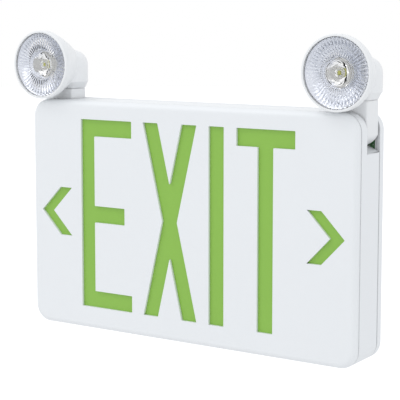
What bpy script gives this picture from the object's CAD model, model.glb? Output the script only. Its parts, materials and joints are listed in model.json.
import json
import math

import bmesh
import bpy
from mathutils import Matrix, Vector


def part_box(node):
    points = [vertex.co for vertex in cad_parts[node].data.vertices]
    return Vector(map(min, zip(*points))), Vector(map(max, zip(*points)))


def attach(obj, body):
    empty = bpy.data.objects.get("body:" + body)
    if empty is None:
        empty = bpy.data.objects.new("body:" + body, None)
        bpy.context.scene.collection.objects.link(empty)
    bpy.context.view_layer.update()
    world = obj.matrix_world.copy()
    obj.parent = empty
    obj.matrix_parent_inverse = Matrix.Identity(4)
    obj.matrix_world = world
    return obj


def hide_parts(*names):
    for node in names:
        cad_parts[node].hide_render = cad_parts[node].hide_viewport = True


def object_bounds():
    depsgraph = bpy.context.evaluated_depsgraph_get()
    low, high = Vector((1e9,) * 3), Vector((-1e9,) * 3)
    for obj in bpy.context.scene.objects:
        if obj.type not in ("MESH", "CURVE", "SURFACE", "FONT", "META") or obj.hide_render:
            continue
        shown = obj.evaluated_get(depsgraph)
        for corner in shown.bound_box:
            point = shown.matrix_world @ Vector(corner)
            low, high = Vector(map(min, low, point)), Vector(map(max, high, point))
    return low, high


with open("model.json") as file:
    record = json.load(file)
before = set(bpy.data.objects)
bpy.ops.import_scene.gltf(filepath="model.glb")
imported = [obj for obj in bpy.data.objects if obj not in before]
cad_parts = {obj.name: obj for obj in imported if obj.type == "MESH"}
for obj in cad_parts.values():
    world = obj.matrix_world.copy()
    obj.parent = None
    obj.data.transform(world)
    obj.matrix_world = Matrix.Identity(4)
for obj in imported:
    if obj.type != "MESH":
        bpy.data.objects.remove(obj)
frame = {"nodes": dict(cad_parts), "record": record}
cadLow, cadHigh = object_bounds()
scene = bpy.context.scene
bodyOf = {node: body for body, nodes in frame["record"]["behaviour"]["bodies"].items()
          for node in nodes}
joinDistance = 0.000002  # corners nearer than this are one corner
sameLevel = 0.00001  # heights nearer than this are one height


def box(node):
    low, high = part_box(node)
    return Vector(low), Vector(high)


camera = {
    "place": (0.5578, -0.8708, 0.16435),
    "turn": 33.20,  # degrees about Z, to the left
    "dip": 6.48,  # degrees below level
    "lens": 118.38,
    "rise": -0.1,
}

light = {
    "sky": (0.955, 0.975, 1.0),
    "skyLevel": 0.88,
    "keyPower": 12.0,
    "keySize": 1.6,
    "keyPlace": (-1.0, -1.2, 2.0),
    "fillPower": 9.6,
    "fillSize": 2.8,
    "fillPlace": (3.6, -1.2, 0.1),
    "target": (0, 0, 0.02),
}

floor = {
    "drop": 0.32,  # below the sign, which hangs on a wall
    "radius": 9.0,
    "colour": (0.86, 0.86, 0.86, 1.0),
    "seenLift": 0.42,
}


def makeCamera():
    data = bpy.data.cameras.new("viewCamera")
    data.lens = camera["lens"]
    data.sensor_width = 36
    data.shift_y = camera["rise"]
    data.clip_start = 0.05
    data.clip_end = 60
    seen = bpy.data.objects.new("viewCamera", data)
    seen.location = camera["place"]
    seen.rotation_euler = (math.radians(90 - camera["dip"]), 0, math.radians(camera["turn"]))
    scene.collection.objects.link(seen)
    scene.camera = seen


def areaLight(name, place, size, power):
    data = bpy.data.lights.new(name, "AREA")
    data.shape = "DISK"
    data.size = size
    data.energy = power
    lamp = bpy.data.objects.new(name, data)
    lamp.location = place
    aim = Vector(light["target"]) - Vector(place)
    lamp.rotation_euler = aim.to_track_quat("-Z", "Y").to_euler()
    scene.collection.objects.link(lamp)


def makeWorld():
    world = bpy.data.worlds.new("softRoom")
    world.use_nodes = True
    tree = world.node_tree
    sky = tree.nodes["Background"]
    sky.inputs["Color"].default_value = (*light["sky"], 1)
    sky.inputs["Strength"].default_value = light["skyLevel"]
    white = tree.nodes.new("ShaderNodeBackground")
    white.inputs["Color"].default_value = (1, 1, 1, 1)
    path = tree.nodes.new("ShaderNodeLightPath")
    direct = tree.nodes.new("ShaderNodeMath")
    direct.operation = "MAXIMUM"
    tree.links.new(path.outputs["Is Camera Ray"], direct.inputs[0])
    tree.links.new(path.outputs["Is Glossy Ray"], direct.inputs[1])
    seen = tree.nodes.new("ShaderNodeMath")
    seen.operation = "MAXIMUM"
    tree.links.new(direct.outputs[0], seen.inputs[0])
    tree.links.new(path.outputs["Is Transmission Ray"], seen.inputs[1])
    mix = tree.nodes.new("ShaderNodeMixShader")
    tree.links.new(seen.outputs[0], mix.inputs["Fac"])
    tree.links.new(sky.outputs[0], mix.inputs[1])
    tree.links.new(white.outputs[0], mix.inputs[2])
    tree.links.new(mix.outputs[0], tree.nodes["World Output"].inputs["Surface"])
    scene.world = world


def makeFloor():
    mesh = bpy.data.meshes.new("floor")
    shape = bmesh.new()
    bmesh.ops.create_circle(shape, cap_ends=True, radius=floor["radius"], segments=96)
    bmesh.ops.translate(shape, verts=shape.verts, vec=(0, 0, cadLow[2] - floor["drop"]))
    shape.normal_update()
    for face in shape.faces:
        if face.normal.z < 0:
            face.normal_flip()
    shape.to_mesh(mesh)
    shape.free()
    ground = bpy.data.objects.new("floor", mesh)
    scene.collection.objects.link(ground)
    material = bpy.data.materials.new("paleFloor")
    material.use_nodes = True
    tree = material.node_tree
    shader = tree.nodes["Principled BSDF"]
    shader.inputs["Base Color"].default_value = floor["colour"]
    shader.inputs["Roughness"].default_value = 0.9
    shader.inputs["Emission Color"].default_value = (1, 1, 1, 1)
    path = tree.nodes.new("ShaderNodeLightPath")
    lift = tree.nodes.new("ShaderNodeMath")
    lift.operation = "MULTIPLY"
    lift.inputs[1].default_value = floor["seenLift"]
    tree.links.new(path.outputs["Is Camera Ray"], lift.inputs[0])
    tree.links.new(lift.outputs[0], shader.inputs["Emission Strength"])
    under = tree.nodes.new("ShaderNodeNewGeometry")
    clear = tree.nodes.new("ShaderNodeBsdfTransparent")
    either = tree.nodes.new("ShaderNodeMixShader")  # seen through from below
    tree.links.new(under.outputs["Backfacing"], either.inputs["Fac"])
    tree.links.new(shader.outputs[0], either.inputs[1])
    tree.links.new(clear.outputs[0], either.inputs[2])
    tree.links.new(either.outputs[0], tree.nodes["Material Output"].inputs["Surface"])
    mesh.materials.append(material)


makeCamera()
makeWorld()
makeFloor()
areaLight("keyLight", light["keyPlace"], light["keySize"], light["keyPower"])
areaLight("fillLight", light["fillPlace"], light["fillSize"], light["fillPower"])
scene.view_settings.view_transform = "Standard"
print("camera, light and floor ready")


def display(red, green, blue):
    # a colour as seen on screen, 0 to 255, in the scene's own values
    def straight(value):
        part = value / 255
        return part / 12.92 if part <= 0.04045 else ((part + 0.055) / 1.055) ** 2.4
    return (straight(red), straight(green), straight(blue), 1.0)


def newGroup(name, inputs, outputs):
    group = bpy.data.node_groups.new(name, "ShaderNodeTree")
    for label, value in inputs.items():
        socket = group.interface.new_socket(label, in_out="INPUT", socket_type="NodeSocketFloat")
        socket.default_value = value
    for label in outputs:
        group.interface.new_socket(label, in_out="OUTPUT", socket_type="NodeSocketFloat")
    enter = group.nodes.new("NodeGroupInput")
    leave = group.nodes.new("NodeGroupOutput")
    return group, enter, leave


def mathNode(tree, operation, first, second=None, third=None):
    node = tree.nodes.new("ShaderNodeMath")
    node.operation = operation
    for index, value in enumerate((first, second, third)):
        if value is None:
            continue
        if isinstance(value, (int, float)):
            node.inputs[index].default_value = value
        else:
            tree.links.new(value, node.inputs[index])
    return node.outputs[0]


def noise(tree, scale, detail):
    place = tree.nodes.new("ShaderNodeTexCoord")
    node = tree.nodes.new("ShaderNodeTexNoise")
    node.inputs["Detail"].default_value = detail
    tree.links.new(scale, node.inputs["Scale"])
    tree.links.new(place.outputs["Object"], node.inputs["Vector"])
    return node.outputs["Fac"]


def makeMouldGrain():
    # spark-eroded grain, slow colour drift and flow haze of moulded plastic
    group, enter, leave = newGroup(
        "mouldGrain",
        {"Grain Scale": 2600.0, "Drift Scale": 14.0, "Drift": 0.02, "Haze": 0.08},
        ("Height", "Shade", "Gloss"),
    )
    fine = noise(group, enter.outputs["Grain Scale"], 3.0)
    slow = noise(group, enter.outputs["Drift Scale"], 2.0)
    centred = mathNode(group, "SUBTRACT", slow, 0.5)
    shade = mathNode(group, "MULTIPLY_ADD", centred, enter.outputs["Drift"], 1.0)
    haze = mathNode(group, "MULTIPLY", centred, enter.outputs["Haze"])
    group.links.new(fine, leave.inputs["Height"])
    group.links.new(shade, leave.inputs["Shade"])
    group.links.new(haze, leave.inputs["Gloss"])
    return group


def makeBoardTracks():
    # copper tracks under solder mask, with tinned pads
    group, enter, leave = newGroup(
        "boardTracks", {"Track Scale": 260.0, "Pad Scale": 330.0}, ("Track", "Pad"))
    place = group.nodes.new("ShaderNodeTexCoord")
    tracks = group.nodes.new("ShaderNodeTexBrick")
    tracks.inputs["Mortar Size"].default_value = 0.06
    tracks.inputs["Brick Width"].default_value = 1.7
    group.links.new(enter.outputs["Track Scale"], tracks.inputs["Scale"])
    turned = group.nodes.new("ShaderNodeMapping")
    turned.inputs["Rotation"].default_value = (math.radians(90), 0, 0)
    group.links.new(place.outputs["Object"], turned.inputs["Vector"])
    group.links.new(turned.outputs["Vector"], tracks.inputs["Vector"])
    pads = group.nodes.new("ShaderNodeTexVoronoi")
    group.links.new(turned.outputs["Vector"], pads.inputs["Vector"])
    group.links.new(enter.outputs["Pad Scale"], pads.inputs["Scale"])
    group.links.new(tracks.outputs["Fac"], leave.inputs["Track"])
    padRadius = 0.16
    pad = mathNode(group, "LESS_THAN", pads.outputs["Distance"], padRadius)
    group.links.new(pad, leave.inputs["Pad"])
    return group


def makeCreaseShade():
    # joints, slots and inner corners of pale mouldings hold a little shade and dust
    group, enter, leave = newGroup("creaseShade", {"Reach": 0.01, "Strength": 0.5}, ("Shade",))
    near = group.nodes.new("ShaderNodeAmbientOcclusion")
    near.samples = 8
    group.links.new(enter.outputs["Reach"], near.inputs["Distance"])
    shut = mathNode(group, "SUBTRACT", near.outputs["AO"], 1.0)
    shade = mathNode(group, "MULTIPLY_ADD", shut, enter.outputs["Strength"], 1.0)
    group.links.new(shade, leave.inputs["Shade"])
    return group


mouldGrain = makeMouldGrain()
boardTracks = makeBoardTracks()
creaseShade = makeCreaseShade()


def startMaterial(name, colour, roughness):
    material = bpy.data.materials.new(name)
    material.use_nodes = True
    tree = material.node_tree
    shader = tree.nodes["Principled BSDF"]
    shader.inputs["Base Color"].default_value = colour
    shader.inputs["Roughness"].default_value = roughness
    return material, tree, shader


def useGroup(tree, group, **values):
    node = tree.nodes.new("ShaderNodeGroup")
    node.node_tree = group
    for label, value in values.items():
        node.inputs[label.replace("_", " ")].default_value = value
    return node


def scaledColour(tree, colour, factor):
    node = tree.nodes.new("ShaderNodeVectorMath")
    node.operation = "SCALE"
    node.inputs[0].default_value = colour[:3]
    tree.links.new(factor, node.inputs["Scale"])
    return node.outputs["Vector"]


def addBump(tree, shader, height, distance):
    bump = tree.nodes.new("ShaderNodeBump")
    bump.inputs["Strength"].default_value = 1.0
    bump.inputs["Distance"].default_value = distance
    tree.links.new(height, bump.inputs["Height"])
    tree.links.new(bump.outputs["Normal"], shader.inputs["Normal"])


def moulded(name, colour, roughness, grain=2600.0, depth=0.00002, drift=0.02, crease=0.0,
            reach=0.01):
    material, tree, shader = startMaterial(name, colour, roughness)
    surface = useGroup(tree, mouldGrain, Grain_Scale=grain, Drift=drift)
    shade = surface.outputs["Shade"]
    if crease:
        corners = useGroup(tree, creaseShade, Strength=crease, Reach=reach)
        shade = mathNode(tree, "MULTIPLY", shade, corners.outputs["Shade"])
    tree.links.new(scaledColour(tree, colour, shade), shader.inputs["Base Color"])
    gloss = mathNode(tree, "ADD", surface.outputs["Gloss"], roughness)
    tree.links.new(gloss, shader.inputs["Roughness"])
    addBump(tree, shader, surface.outputs["Height"], depth)
    return material


def metal(name, colour, roughness, depth=0.00001):
    material, tree, shader = startMaterial(name, colour, roughness)
    shader.inputs["Metallic"].default_value = 1.0
    surface = useGroup(tree, mouldGrain, Grain_Scale=900.0, Drift=0.1, Haze=0.15)
    tree.links.new(scaledColour(tree, colour, surface.outputs["Shade"]),
                   shader.inputs["Base Color"])
    gloss = mathNode(tree, "ADD", surface.outputs["Gloss"], roughness)
    tree.links.new(gloss, shader.inputs["Roughness"])
    addBump(tree, shader, surface.outputs["Height"], depth)
    return material


def circuitBoard(name, colour, copper):
    material, tree, shader = startMaterial(name, colour, 0.35)
    tracks = useGroup(tree, boardTracks)
    under = tree.nodes.new("ShaderNodeMix")
    under.data_type = "RGBA"
    tree.links.new(tracks.outputs["Track"], under.inputs["Factor"])
    under.inputs["A"].default_value = copper
    under.inputs["B"].default_value = colour
    tinned = tree.nodes.new("ShaderNodeMix")
    tinned.data_type = "RGBA"
    tree.links.new(tracks.outputs["Pad"], tinned.inputs["Factor"])
    tree.links.new(under.outputs["Result"], tinned.inputs["A"])
    tinned.inputs["B"].default_value = display(170, 172, 168)
    tree.links.new(tinned.outputs["Result"], shader.inputs["Base Color"])
    addBump(tree, shader, tracks.outputs["Track"], 0.00004)
    return material


def clearPlastic(name, colour, roughness):
    material, tree, shader = startMaterial(name, colour, roughness)
    shader.inputs["Transmission Weight"].default_value = 1.0
    shader.inputs["IOR"].default_value = 1.49
    surface = useGroup(tree, mouldGrain, Grain_Scale=420.0)
    addBump(tree, shader, surface.outputs["Height"], 0.000012)
    return material


whiteCover = moulded("whiteCover", display(240, 242, 244), 0.42, crease=0.7, reach=0.0012)
whiteShell = moulded("whiteShell", display(240, 242, 244), 0.42, crease=0.6)
whiteHead = moulded("whiteHead", display(243, 244, 245), 0.36)
whiteTray = moulded("whiteTray", display(244, 244, 242), 0.6)
greenSheet = moulded("greenSheet", display(144, 193, 78), 0.38, grain=700.0, depth=0.00001,
                     drift=0.05)
boardGreen = circuitBoard("boardGreen", display(38, 84, 44), display(66, 118, 66))
darkPlastic = moulded("darkPlastic", display(40, 41, 44), 0.5)
greyPlastic = moulded("greyPlastic", display(150, 152, 154), 0.5)
blueSleeve = moulded("blueSleeve", display(48, 92, 160), 0.25)
redSleeve = moulded("redSleeve", display(168, 30, 26), 0.4)
zincSteel = metal("zincSteel", display(206, 206, 202), 0.3)
rawAluminium = metal("rawAluminium", display(214, 216, 218), 0.38)
clearLens = clearPlastic("clearLens", display(255, 255, 255), 0.04)
glossReflector = metal("glossReflector", display(238, 242, 252), 0.32, depth=0.000004)
phosphor = moulded("phosphor", display(226, 226, 92), 0.3)
redIndicator = clearPlastic("redIndicator", display(214, 60, 48), 0.1)

nodeFinish = {
    "front_cover": whiteCover,
    "legend_panel": greenSheet,
    "housing": whiteShell,
    "back_plate": whiteShell,
    "plate_screws": zincSteel,
    "light_tray": whiteTray,
    "upper_led_strip": whiteTray,
    "lower_led_strip": whiteTray,
    "main_board": boardGreen,
    "transformer": greyPlastic,
    "board_parts": darkPlastic,
    "terminal_block": greyPlastic,
    "battery_pack": blueSleeve,
    "battery_strap": zincSteel,
    "strap_screws": zincSteel,
    "battery_leads": redSleeve,
    "control_board": boardGreen,
    "test_switch": darkPlastic,
    "test_button": greyPlastic,
    "status_lamp": redIndicator,
    "arm": whiteHead,
    "arm_retainer": whiteShell,
    "retainer_screws": zincSteel,
    "pivot_screw": zincSteel,
    "friction_washer": zincSteel,
    "lamp_housing": whiteHead,
    "lens": clearLens,
    "reflector": glossReflector,
    "lamp_board": whiteTray,
    "diode": phosphor,
    "heat_sink": rawAluminium,
    "swivel_clip": zincSteel,
}

for nodeName, node in frame["nodes"].items():
    plainName = nodeName.replace("left_", "").replace("right_", "")
    for slot in node.material_slots:
        slot.material = nodeFinish[plainName]
print("materials ready")


def mergedCopy(node, name):
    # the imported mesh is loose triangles, so a copy is joined up before it is cut
    mesh = frame["nodes"][node].data.copy()
    mesh.name = name
    shape = bmesh.new()
    shape.from_mesh(mesh)
    bmesh.ops.remove_doubles(shape, verts=shape.verts, dist=joinDistance)
    bmesh.ops.dissolve_limit(shape, angle_limit=math.radians(0.05), verts=shape.verts,
                             edges=shape.edges)
    shape.to_mesh(mesh)
    shape.free()
    made = bpy.data.objects.new(name, mesh)
    scene.collection.objects.link(made)
    return made


def objectFrom(shape, name, material):
    mesh = bpy.data.meshes.new(name)
    shape.to_mesh(mesh)
    shape.free()
    mesh.materials.append(material)
    made = bpy.data.objects.new(name, mesh)
    scene.collection.objects.link(made)
    return made


def softShade(made, angle):
    made.data.shade_smooth()
    made.data.set_sharp_from_angle(angle=math.radians(angle))


def settle(made):
    # turns the evaluated object into a plain mesh and drops its modifiers
    bpy.context.view_layer.update()
    graph = bpy.context.evaluated_depsgraph_get()
    mesh = bpy.data.meshes.new_from_object(made.evaluated_get(graph))
    made.modifiers.clear()
    made.data = mesh


def standIn(made, node):
    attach(made, bodyOf[node])
    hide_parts(node)


legend = {
    "height": 0.1524,
    "stroke": 0.0135,
    "letterWidth": 0.050,
    "gap": 0.0110,
    "lift": 0.00185,  # above the middle of the face
    "cornerRadius": 0.0006,
    "cornerSteps": 3,
    "middleArm": 0.86,  # of the letter's width
    "cutterClear": 0.002,  # the cutter starts this far in front of the face
    "cutterPast": 0.001,  # and ends this far behind the cover's inside
}

arrow = {
    "tip": 0.1390,
    "halfHeight": 0.0197,
    "slope": 0.0190,
    "width": 0.0120,
}

seam = {
    "frontWidth": 0.0010,
    "rearWidth": 0.0013,
    "depth": 0.0015,
    "cornerRadius": 0.014,
    "cornerSteps": 14,
    "outside": 0.002,  # the cutter stands this far outside the skin
    "overlap": 0.0001,
}

board = {
    "reach": 0.0016,  # its end stands this much nearer the side wall
}


def roundedLoop(halfWidth, halfHeight, radius):
    points = []
    for quarter in range(4):
        centreX = (halfWidth - radius) * (1 if quarter in (0, 3) else -1)
        centreZ = (halfHeight - radius) * (1 if quarter in (0, 1) else -1)
        for index in range(seam["cornerSteps"] + 1):
            angle = math.radians(90 * (quarter + index / seam["cornerSteps"]))
            points.append((centreX + radius * math.cos(angle),
                           centreZ + radius * math.sin(angle)))
    return points


def seamCutter(low, high, fromY, toY):
    # a ring that trims the outer skin of the box beside a joint
    halfWidth = (high.x - low.x) / 2
    halfHeight = (high.z - low.z) / 2
    radius = seam["cornerRadius"]
    outside = seam["outside"]
    outer = roundedLoop(halfWidth + outside, halfHeight + outside, radius + outside)
    inner = roundedLoop(halfWidth - seam["depth"], halfHeight - seam["depth"],
                        radius - seam["depth"])
    shape = bmesh.new()
    loops = [[shape.verts.new((x, y, z)) for x, z in points]
             for points, y in ((outer, fromY), (outer, toY), (inner, toY), (inner, fromY))]
    count = len(outer)
    for first, second in zip(loops, loops[1:] + loops[:1]):
        for index in range(count):
            after = (index + 1) % count
            shape.faces.new((first[index], first[after], second[after], second[index]))
    bmesh.ops.recalc_face_normals(shape, faces=shape.faces)
    return objectFrom(shape, "seamCutter", whiteShell)


def cutAway(made, cutter, label):
    cut = made.modifiers.new(label, "BOOLEAN")
    cut.operation = "DIFFERENCE"
    cut.solver = "EXACT"
    cut.object = cutter
    settle(made)
    bpy.data.objects.remove(cutter)


def finishShell(made, node):
    made.data.materials.clear()
    made.data.materials.append(nodeFinish[node])
    softShade(made, angle=28)
    even = made.modifiers.new("evenNormals", "WEIGHTED_NORMAL")  # flat faces stay flat
    even.keep_sharp = True
    even.weight = 100
    settle(made)
    standIn(made, node)


def softCorners(points, radius, steps):
    # each corner becomes a short curve, as a cut through moulded plastic has
    rounded = []
    count = len(points)
    for index, corner in enumerate(points):
        corner = Vector(corner)
        before = Vector(points[index - 1]) - corner
        after = Vector(points[(index + 1) % count]) - corner
        start = corner + before.normalized() * radius
        end = corner + after.normalized() * radius
        for step in range(steps + 1):
            t = step / steps
            rounded.append((1 - t) ** 2 * start + 2 * t * (1 - t) * corner + t * t * end)
    return rounded


def letterE(width, half, stroke):
    arm = width * legend["middleArm"]
    return [(0, half), (width, half), (width, half - stroke), (stroke, half - stroke),
            (stroke, stroke / 2), (arm, stroke / 2), (arm, -stroke / 2), (stroke, -stroke / 2),
            (stroke, stroke - half), (width, stroke - half), (width, -half), (0, -half)]


def letterX(width, half, stroke):
    across = stroke
    for turn in range(6):  # width of a slanting stroke, measured level
        across = stroke * math.hypot(1, (width - across) / (2 * half))
    notch = half - 2 * half * (width / 2 - across) / (width - across)
    return [(0, half), (across, half), (width / 2, notch), (width - across, half),
            (width, half), ((width + across) / 2, 0), (width, -half), (width - across, -half),
            (width / 2, -notch), (across, -half), (0, -half), ((width - across) / 2, 0)]


def letterI(width, half, stroke):
    return [(0, half), (stroke, half), (stroke, -half), (0, -half)]


def letterT(width, half, stroke):
    left, right = (width - stroke) / 2, (width + stroke) / 2
    return [(0, half), (width, half), (width, half - stroke), (right, half - stroke),
            (right, -half), (left, -half), (left, half - stroke), (0, half - stroke)]


def chevron(side):
    tip, half, width = arrow["tip"], arrow["halfHeight"], arrow["width"]
    shoulder = tip - arrow["slope"]
    return [(side * x, z) for x, z in ((shoulder - width, half), (shoulder, half), (tip, 0),
                                       (shoulder, -half), (shoulder - width, -half),
                                       (tip - width, 0))]


def legendOutlines():
    width, stroke = legend["letterWidth"], legend["stroke"]
    word = ((letterE, width), (letterX, width), (letterI, stroke), (letterT, width))
    left = -(sum(wide for letter, wide in word) + 3 * legend["gap"]) / 2
    outlines = [chevron(1), chevron(-1)]
    for letter, wide in word:
        outlines.append([(left + x, z) for x, z in letter(width, legend["height"] / 2, stroke)])
        left += wide + legend["gap"]
    return [softCorners(outline, legend["cornerRadius"], legend["cornerSteps"])
            for outline in outlines]


def cutFrontCover():
    made = mergedCopy("front_cover", "faceCover")
    front = box("front_cover")[0].y
    inside = box("legend_panel")[0].y
    clear, past = legend["cutterClear"], legend["cutterPast"]
    shape = bmesh.new()
    for outline in legendOutlines():
        ring = [shape.verts.new((x, front - clear, z + legend["lift"])) for x, z in outline]
        face = shape.faces.new(ring)
        pushed = bmesh.ops.extrude_face_region(shape, geom=[face])
        farEnd = [item for item in pushed["geom"] if isinstance(item, bmesh.types.BMVert)]
        bmesh.ops.translate(shape, verts=farEnd, vec=(0, inside + past - front + clear, 0))
    bmesh.ops.recalc_face_normals(shape, faces=shape.faces)
    cutAway(made, objectFrom(shape, "stencilCutter", whiteShell), "stencil")
    rear = box("housing")[0].y
    low, high = box("front_cover")
    cutter = seamCutter(low, high, rear - seam["frontWidth"], rear + seam["overlap"])
    cutAway(made, cutter, "frontSeam")
    finishShell(made, "front_cover")


def cutHousing():
    made = mergedCopy("housing", "tub")
    low, high = box("housing")
    rear = box("back_plate")[0].y
    cutter = seamCutter(low, high, rear - seam["rearWidth"], rear + seam["overlap"])
    cutAway(made, cutter, "rearSeam")
    finishShell(made, "housing")


def reachBoard():
    made = mergedCopy("main_board", "mainBoardLong")
    end = max(vert.co.x for vert in made.data.vertices)
    for vert in made.data.vertices:
        if vert.co.x > end - sameLevel:
            vert.co.x += board["reach"]
    made.data.materials.clear()
    made.data.materials.append(boardGreen)
    standIn(made, "main_board")


cutFrontCover()
cutHousing()
reachBoard()
print("front cover, housing and board ready")


lens = {
    "flutes": 48,
    "fluteDepth": 0.0004,
    "ringPitch": 0.0012,
    "ringDepth": 0.00004,
    "fluteInner": 0.0122,
    "fluteOuter": 0.0249,
    "thick": 0.0018,
    "bands": 20,
    "stepsPerFlute": 4,
    "edge": 0.0004,
    "bell": ((0.0116, 0.0), (0.0112, 0.0004), (0.0092, 0.0006), (0.0078, 0.0030),
             (0.0062, 0.0052)),  # radius, distance behind the plate
    "bellEnd": 0.0046,
    "hollow": ((0.0030, 0.0), (0.0027, 0.0030), (0.0018, 0.0036), (0, 0.0039)),
}

cone = {
    "pleats": 48,
    "pleatDepth": 0.00035,
    "stepsPerPleat": 4,
    "mouthGap": 0.0002,
    "lip": 0.0004,
    "lipRise": 0.0001,
    "collar": 0.0012,  # straight run behind the seat
    "rear": 0.0142,  # outer radius at the diode board
    "bore": 0.0106,
    "boreDepth": 0.0009,
    "innerStart": (0.0112, 0.0011),  # radius, distance in front of the diode board
    "bands": 10,
}


def makeFluteTree():
    tree = bpy.data.node_groups.new("lensFlutes", "GeometryNodeTree")
    sockets = {}
    tree.interface.new_socket("Geometry", in_out="INPUT", socket_type="NodeSocketGeometry")
    for label in ("Count", "Depth", "Ring Pitch", "Ring Depth", "Centre X", "Centre Z"):
        sockets[label] = tree.interface.new_socket(label, in_out="INPUT",
                                                   socket_type="NodeSocketFloat").identifier
    sockets["Finish"] = tree.interface.new_socket("Finish", in_out="INPUT",
                                                  socket_type="NodeSocketMaterial").identifier
    tree.interface.new_socket("Geometry", in_out="OUTPUT", socket_type="NodeSocketGeometry")
    enter = tree.nodes.new("NodeGroupInput")
    leave = tree.nodes.new("NodeGroupOutput")
    place = tree.nodes.new("GeometryNodeInputPosition")
    split = tree.nodes.new("ShaderNodeSeparateXYZ")
    tree.links.new(place.outputs[0], split.inputs[0])
    across = mathNode(tree, "SUBTRACT", split.outputs["X"], enter.outputs["Centre X"])
    upward = mathNode(tree, "SUBTRACT", split.outputs["Z"], enter.outputs["Centre Z"])
    angle = mathNode(tree, "ARCTAN2", upward, across)
    turns = mathNode(tree, "DIVIDE", angle, 2 * math.pi)
    wave = mathNode(tree, "PINGPONG",
                    mathNode(tree, "MULTIPLY", turns, enter.outputs["Count"]), 0.5)
    flute = mathNode(tree, "MULTIPLY", mathNode(tree, "MULTIPLY", wave, 2.0),
                     enter.outputs["Depth"])
    squares = mathNode(tree, "ADD", mathNode(tree, "MULTIPLY", across, across),
                       mathNode(tree, "MULTIPLY", upward, upward))
    radius = mathNode(tree, "SQRT", squares)
    rings = mathNode(tree, "PINGPONG",
                     mathNode(tree, "DIVIDE", radius, enter.outputs["Ring Pitch"]), 0.5)
    ridge = mathNode(tree, "MULTIPLY", mathNode(tree, "MULTIPLY", rings, 2.0),
                     enter.outputs["Ring Depth"])
    mask = tree.nodes.new("GeometryNodeInputNamedAttribute")
    mask.data_type = "FLOAT"
    mask.inputs["Name"].default_value = "fluteMask"
    height = mathNode(tree, "MULTIPLY", mathNode(tree, "ADD", flute, ridge),
                      mask.outputs["Attribute"])
    offset = tree.nodes.new("ShaderNodeCombineXYZ")
    tree.links.new(height, offset.inputs["Y"])
    shift = tree.nodes.new("GeometryNodeSetPosition")
    tree.links.new(enter.outputs["Geometry"], shift.inputs["Geometry"])
    tree.links.new(offset.outputs[0], shift.inputs["Offset"])
    real = tree.nodes.new("GeometryNodeRealizeInstances")
    tree.links.new(shift.outputs[0], real.inputs[0])
    finish = tree.nodes.new("GeometryNodeSetMaterial")
    tree.links.new(real.outputs[0], finish.inputs["Geometry"])
    tree.links.new(enter.outputs["Finish"], finish.inputs["Material"])
    tree.links.new(finish.outputs[0], leave.inputs[0])
    return tree, sockets


def revolve(shape, profile, centre, steps):
    # profile is a closed loop of (radius, y); points on the axis become one vertex
    rings = []
    for radius, y in profile:
        if radius < 1e-7:
            rings.append([shape.verts.new((centre.x, y, centre.z))])
            continue
        rings.append([shape.verts.new((centre.x + radius * math.cos(2 * math.pi * k / steps), y,
                                       centre.z + radius * math.sin(2 * math.pi * k / steps)))
                      for k in range(steps)])
    for ring, after in zip(rings, rings[1:] + rings[:1]):
        if len(ring) == 1 and len(after) == 1:
            continue
        for k in range(steps):
            n = (k + 1) % steps
            corners = [ring[k % len(ring)], ring[n % len(ring)],
                       after[n % len(after)], after[k % len(after)]]
            unique = list(dict.fromkeys(corners))
            shape.faces.new(unique)
    bmesh.ops.recalc_face_normals(shape, faces=shape.faces)
    return rings


def fluted(made, centre, count, depth, ringPitch, ringDepth, finish):
    flutes = made.modifiers.new("flutes", "NODES")
    flutes.node_group = fluteTree
    flutes[fluteSockets["Count"]] = float(count)
    flutes[fluteSockets["Depth"]] = depth
    flutes[fluteSockets["Ring Pitch"]] = ringPitch
    flutes[fluteSockets["Ring Depth"]] = ringDepth
    flutes[fluteSockets["Centre X"]] = centre.x
    flutes[fluteSockets["Centre Z"]] = centre.z
    flutes[fluteSockets["Finish"]] = finish
    settle(made)
    softShade(made, angle=12)


def spacedPoints(first, last, count):
    return [tuple(a + (b - a) * index / count for a, b in zip(first, last))
            for index in range(count + 1)]


def turnedWithMask(profile, masked, centre, steps, name, finish):
    shape = bmesh.new()
    mask = shape.verts.layers.float.new("fluteMask")
    rings = revolve(shape, profile, centre, steps)
    for index, ring in enumerate(rings):
        for vert in ring:
            vert[mask] = 1.0 if index in masked else 0.0
    return objectFrom(shape, name, finish)


def makeLens(side):
    node = side + "_lens"
    low, high = box(node)
    centre = (low + high) / 2
    outer = (high.x - low.x) / 2
    front = low.y
    back = front + lens["thick"]
    edge = lens["edge"]
    profile = [(0, front), (outer - edge, front), (outer, front + edge), (outer, back)]
    first = len(profile)
    profile += spacedPoints((lens["fluteOuter"], back), (lens["fluteInner"], back),
                            lens["bands"])
    masked = range(first + 1, len(profile) - 1)
    profile += [(radius, back + depth) for radius, depth in lens["bell"]]
    profile.append((lens["bellEnd"], high.y))
    profile += [(radius, high.y - depth) for radius, depth in lens["hollow"]]
    made = turnedWithMask(profile, masked, centre, lens["flutes"] * lens["stepsPerFlute"],
                          side + "LensFluted", clearLens)
    fluted(made, centre, lens["flutes"], lens["fluteDepth"], lens["ringPitch"],
           lens["ringDepth"], clearLens)
    standIn(made, node)


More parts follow.
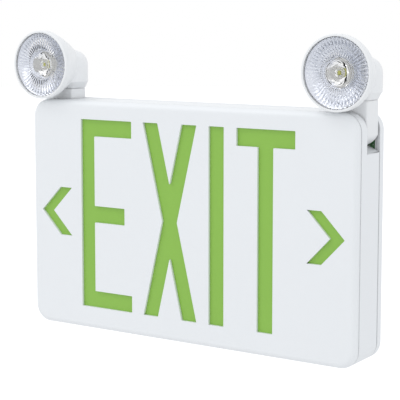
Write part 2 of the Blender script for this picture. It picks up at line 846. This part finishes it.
def makeReflector(side):
    node = side + "_reflector"
    low, high = box(node)
    centre = (low + high) / 2
    wide = (high.x - low.x) / 2
    lensLow, lensHigh = box(side + "_lens")
    mouth = (lensHigh.x - lensLow.x) / 2 - cone["mouthGap"]
    front = lensLow.y + lens["thick"] + cone["mouthGap"]
    seat = low.y - cone["mouthGap"]
    profile = [(mouth, front), (mouth, seat), (wide, seat), (wide, low.y + cone["collar"]),
               (cone["rear"], high.y), (cone["bore"], high.y),
               (cone["bore"], high.y - cone["boreDepth"])]
    first = len(profile)
    innerRadius, innerDepth = cone["innerStart"]
    profile += spacedPoints((innerRadius, high.y - innerDepth),
                            (mouth - cone["lip"], front + cone["lipRise"]),
                            cone["bands"])
    masked = range(first + 1, len(profile) - 1)
    profile.append((mouth - cone["lip"] / 2, front))
    made = turnedWithMask(profile, masked, centre, cone["pleats"] * cone["stepsPerPleat"],
                          side + "ReflectorPleated", glossReflector)
    fluted(made, centre, cone["pleats"], -cone["pleatDepth"], 1.0, 0.0, glossReflector)
    standIn(made, node)


fluteTree, fluteSockets = makeFluteTree()
for side in ("left", "right"):
    makeLens(side)
    makeReflector(side)
print("lenses and reflectors ready")

neck = {
    "gap": 0.00005,  # hairline left below the lamp, which turns on it
}


def closeSwivel(side):
    node = side + "_arm"
    made = mergedCopy(node, side + "ArmNeck")
    joint = box(side + "_lamp_housing")[0].z
    neckTop = max(vert.co.z for vert in made.data.vertices if vert.co.z < joint - sameLevel)
    for vert in made.data.vertices:
        if abs(vert.co.z - neckTop) < sameLevel / 2:
            vert.co.z = joint - neck["gap"]
    made.data.materials.clear()
    made.data.materials.append(whiteHead)
    softShade(made, angle=28)
    standIn(made, node)


for side in ("left", "right"):
    closeSwivel(side)
print("arms ready")

fastener = {
    "threadPitch": 0.0010,
    "plainRun": 0.0006,
    "threadRun": 0.0085,
    "headSides": 32,
    "headRings": 6,
    "plainSides": 20,
    "coreSides": 16,
    "ridgeSides": 4,
    "stepsPerTurn": 14,
    "dome": 0.6,
    "wingLength": 1.05,  # of the head's radius, as is wingWidth
    "wingWidth": 0.24,
    "core": 0.8,  # of the shank's radius, as are ridgePlace and ridgeThick
    "ridgePlace": 0.84,
    "ridgeThick": 0.15,
    "ridgeRun": 0.94,  # of the thread's run, as is ridgeStart
    "ridgeStart": 0.03,
}

screwNodes = ["plate_screws", "strap_screws"]
screwNodes += [side + name for side in ("left_", "right_")
               for name in ("retainer_screws", "pivot_screw")]


def combined(tree, x=None, y=None, z=None):
    node = tree.nodes.new("ShaderNodeCombineXYZ")
    for label, value in (("X", x), ("Y", y), ("Z", z)):
        if value is not None:
            tree.links.new(value, node.inputs[label])
    return node.outputs[0]


def lifted(tree, geometry, z):
    node = tree.nodes.new("GeometryNodeTransform")
    tree.links.new(geometry, node.inputs["Geometry"])
    tree.links.new(combined(tree, z=z), node.inputs["Translation"])
    return node.outputs[0]


def barNode(tree, sides, radius, depth, segments=1):
    bar = tree.nodes.new("GeometryNodeMeshCylinder")
    bar.inputs["Vertices"].default_value = sides
    bar.inputs["Side Segments"].default_value = segments
    tree.links.new(radius, bar.inputs["Radius"])
    tree.links.new(depth, bar.inputs["Depth"])
    return bar.outputs["Mesh"]


def makeScrewTree():
    # a pan head with a cross recess, a plain run and a thread, set at each point along Y
    tree = bpy.data.node_groups.new("crossScrews", "GeometryNodeTree")
    sockets = {}
    tree.interface.new_socket("Geometry", in_out="INPUT", socket_type="NodeSocketGeometry")
    for label in ("Head Radius", "Head Height", "Shank Radius", "Plain Run", "Thread Run",
                  "Pitch"):
        sockets[label] = tree.interface.new_socket(label, in_out="INPUT",
                                                   socket_type="NodeSocketFloat").identifier
    sockets["Finish"] = tree.interface.new_socket("Finish", in_out="INPUT",
                                                  socket_type="NodeSocketMaterial").identifier
    tree.interface.new_socket("Geometry", in_out="OUTPUT", socket_type="NodeSocketGeometry")
    enter = tree.nodes.new("NodeGroupInput")
    leave = tree.nodes.new("NodeGroupOutput")
    given = enter.outputs

    def times(value, factor):
        return mathNode(tree, "MULTIPLY", value, factor)

    blank = lifted(tree, barNode(tree, fastener["headSides"], given["Head Radius"],
                                 given["Head Height"], fastener["headRings"]),
                   z=times(given["Head Height"], -0.5))
    place = tree.nodes.new("GeometryNodeInputPosition")
    split = tree.nodes.new("ShaderNodeSeparateXYZ")
    tree.links.new(place.outputs[0], split.inputs[0])
    rise = mathNode(tree, "DIVIDE", split.outputs["Z"], given["Head Height"])
    squared = mathNode(tree, "MULTIPLY", rise, rise)
    width = mathNode(tree, "SQRT", mathNode(tree, "MULTIPLY_ADD", squared,
                                          -fastener["dome"], 1.0))
    domed = tree.nodes.new("GeometryNodeSetPosition")
    tree.links.new(blank, domed.inputs["Geometry"])
    tree.links.new(combined(tree, mathNode(tree, "MULTIPLY", split.outputs["X"], width),
                            mathNode(tree, "MULTIPLY", split.outputs["Y"], width),
                            split.outputs["Z"]), domed.inputs["Position"])
    recess = tree.nodes.new("GeometryNodeMeshBoolean")
    recess.operation = "DIFFERENCE"
    tree.links.new(domed.outputs[0], recess.inputs["Mesh 1"])
    for long, short in (("X", "Y"), ("Y", "X")):
        wing = tree.nodes.new("GeometryNodeMeshCube")
        sizes = tree.nodes.new("ShaderNodeCombineXYZ")
        tree.links.new(times(given["Head Radius"], fastener["wingLength"]), sizes.inputs[long])
        tree.links.new(times(given["Head Radius"], fastener["wingWidth"]), sizes.inputs[short])
        tree.links.new(given["Head Height"], sizes.inputs["Z"])
        tree.links.new(sizes.outputs[0], wing.inputs["Size"])
        tree.links.new(lifted(tree, wing.outputs["Mesh"], z=times(given["Head Height"], -1.0)),
                       recess.inputs["Mesh 2"])
    plain = lifted(tree, barNode(tree, fastener["plainSides"], given["Shank Radius"],
                                 given["Plain Run"]), z=times(given["Plain Run"], 0.5))
    middleOfThread = mathNode(tree, "MULTIPLY_ADD", given["Thread Run"], 0.5,
                              given["Plain Run"])
    core = lifted(tree, barNode(tree, fastener["coreSides"],
                                times(given["Shank Radius"], fastener["core"]),
                                given["Thread Run"]), z=middleOfThread)
    helix = tree.nodes.new("GeometryNodeCurveSpiral")
    helix.inputs["Resolution"].default_value = fastener["stepsPerTurn"]
    ridgeRun = times(given["Thread Run"], fastener["ridgeRun"])
    tree.links.new(mathNode(tree, "DIVIDE", ridgeRun, given["Pitch"]),
                   helix.inputs["Rotations"])
    for label in ("Start Radius", "End Radius"):
        tree.links.new(times(given["Shank Radius"], fastener["ridgePlace"]),
                       helix.inputs[label])
    tree.links.new(ridgeRun, helix.inputs["Height"])
    ridge = tree.nodes.new("GeometryNodeCurvePrimitiveCircle")
    ridge.inputs["Resolution"].default_value = fastener["ridgeSides"]
    tree.links.new(times(given["Shank Radius"], fastener["ridgeThick"]),
                   ridge.inputs["Radius"])
    thread = tree.nodes.new("GeometryNodeCurveToMesh")
    thread.inputs["Fill Caps"].default_value = True
    tree.links.new(helix.outputs[0], thread.inputs["Curve"])
    tree.links.new(ridge.outputs[0], thread.inputs["Profile Curve"])
    seated = lifted(tree, thread.outputs[0],
                    z=mathNode(tree, "MULTIPLY_ADD", given["Thread Run"],
                               fastener["ridgeStart"], given["Plain Run"]))
    whole = tree.nodes.new("GeometryNodeJoinGeometry")
    for part in (recess.outputs["Mesh"], plain, core, seated):
        tree.links.new(part, whole.inputs[0])
    copies = tree.nodes.new("GeometryNodeInstanceOnPoints")
    tree.links.new(given["Geometry"], copies.inputs["Points"])
    tree.links.new(whole.outputs[0], copies.inputs["Instance"])
    copies.inputs["Rotation"].default_value = (math.radians(-90), 0, 0)
    real = tree.nodes.new("GeometryNodeRealizeInstances")
    tree.links.new(copies.outputs[0], real.inputs[0])
    finish = tree.nodes.new("GeometryNodeSetMaterial")
    tree.links.new(real.outputs[0], finish.inputs["Geometry"])
    tree.links.new(given["Finish"], finish.inputs["Material"])
    tree.links.new(finish.outputs[0], leave.inputs[0])
    return tree, sockets


def screwSizes(node):
    # seats and sizes of the plain screws in one node, read from their own mesh
    shape = bmesh.new()
    shape.from_mesh(frame["nodes"][node].data)
    bmesh.ops.remove_doubles(shape, verts=shape.verts, dist=joinDistance)
    left = dict.fromkeys(shape.verts)  # in the mesh's own order, so each run agrees
    seats, sizes = [], {}
    while left:
        group, queue = [], [left.popitem()[0]]
        while queue:
            vert = queue.pop()
            group.append(vert.co.copy())
            for edge in vert.link_edges:
                other = edge.other_vert(vert)
                if other in left:
                    del left[other]
                    queue.append(other)
        levels = sorted({round(co.y, 6) for co in group})
        front, seat, end = levels[0], levels[1], levels[-1]
        xs = [co.x for co in group]
        zs = [co.z for co in group]
        centreX, centreZ = (min(xs) + max(xs)) / 2, (min(zs) + max(zs)) / 2
        seats.append((centreX, seat, centreZ))
        shank = max(math.hypot(co.x - centreX, co.z - centreZ) for co in group
                    if abs(co.y - end) < sameLevel)
        sizes = {"Head Radius": (max(xs) - min(xs)) / 2, "Head Height": seat - front,
                 "Shank Radius": shank, "run": end - seat}
    shape.free()
    return seats, sizes


def makeScrews(node, tree, sockets):
    seats, sizes = screwSizes(node)
    mesh = bpy.data.meshes.new(node)
    mesh.from_pydata(seats, [], [])
    made = bpy.data.objects.new(node.replace("_", "") + "Cross", mesh)
    scene.collection.objects.link(made)
    run = sizes.pop("run")
    sizes["Plain Run"] = max(fastener["plainRun"], run - fastener["threadRun"])
    sizes["Thread Run"] = run - sizes["Plain Run"]
    sizes["Pitch"] = fastener["threadPitch"]
    drive = made.modifiers.new("crossScrews", "NODES")
    drive.node_group = tree
    for label, value in sizes.items():
        drive[sockets[label]] = value
    drive[sockets["Finish"]] = zincSteel
    settle(made)
    softShade(made, angle=35)
    standIn(made, node)


screwTree, screwSockets = makeScrewTree()
for node in screwNodes:
    makeScrews(node, screwTree, screwSockets)
print("screws ready")
